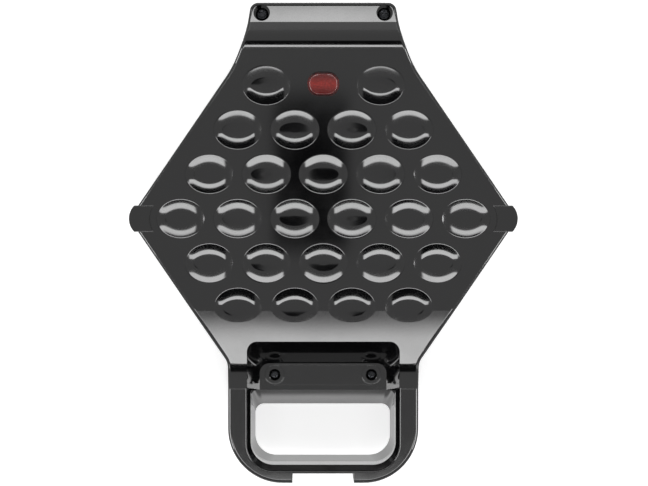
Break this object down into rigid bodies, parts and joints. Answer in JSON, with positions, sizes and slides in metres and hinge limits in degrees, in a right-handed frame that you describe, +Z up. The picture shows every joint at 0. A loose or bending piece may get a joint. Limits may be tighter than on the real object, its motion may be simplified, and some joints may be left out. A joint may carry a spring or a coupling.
{
  "type": "bubble waffle maker",
  "caption": "Hinged countertop cooker that bakes bubble waffles in a honeycomb of egg-shaped cavities, with a dished hexagonal lid, a loop handle, a latch and rubber feet.",
  "frame": {"origin": "bottom centre of the closed appliance's bounding box, on the plane of the feet's soles", "axes": "+X to the right as seen from the handle, +Y from the handle to the hinge, +Z up"},
  "size_m": [0.2334, 0.291, 0.0838],
  "materials": {
    "glossy_black_plastic": "moulded high gloss",
    "matt_black_plastic": "fine satin",
    "non_stick_coating": "cast, with a dark non-stick coating",
    "bright_steel": "bright zinc plated",
    "blackened_steel": "hot black oxide",
    "aluminium_sheet": "rolled sheet",
    "red_lens_plastic": "tinted, moulded gloss",
    "lamp_glass": "clear tube",
    "black_rubber": "matt",
    "white_nylon": "moulded satin",
    "glass_fibre_sleeve": "woven"
  },
  "bodies": {
    "base": {"base_housing": "glossy_black_plastic", "base_frame": "matt_black_plastic", "lower_plate": "non_stick_coating", "lower_element": "bright_steel", "lower_reflector": "aluminium_sheet", "thermostat": "bright_steel", "thermal_fuse": "glass_fibre_sleeve", "terminal_block": "white_nylon", "cord_inlet": "black_rubber", "foot_front_left": "black_rubber", "foot_front_right": "black_rubber", "foot_rear_left": "black_rubber", "foot_rear_right": "black_rubber", "base_screw_front_left": "bright_steel", "base_screw_front_right": "bright_steel", "base_screw_rear_left": "bright_steel", "base_screw_rear_right": "bright_steel", "hinge_pin": "bright_steel", "latch_pin": "bright_steel"},
    "lid": {"lid_cover": "glossy_black_plastic", "lid_frame": "matt_black_plastic", "upper_plate": "non_stick_coating", "upper_element": "bright_steel", "upper_reflector": "aluminium_sheet", "indicator_lens": "red_lens_plastic", "indicator_lamp": "lamp_glass", "pocket_screw_left": "blackened_steel", "pocket_screw_right": "blackened_steel", "hinge_screw_left": "blackened_steel", "hinge_screw_right": "blackened_steel"},
    "latch": {"latch": "matt_black_plastic"}
  },
  "joints": [
    {"name": "lid_hinge", "type": "hinge", "parent": "base", "child": "lid", "pos_m": [0, 0.1355, 0.0485], "axis": [-1, 0, 0], "range_deg": [0, 100]},
    {"name": "latch_pivot", "type": "hinge", "parent": "base", "child": "latch", "pos_m": [0, -0.1412, 0.044], "axis": [-1, 0, 0], "range_deg": [0, 180]}
  ]
}
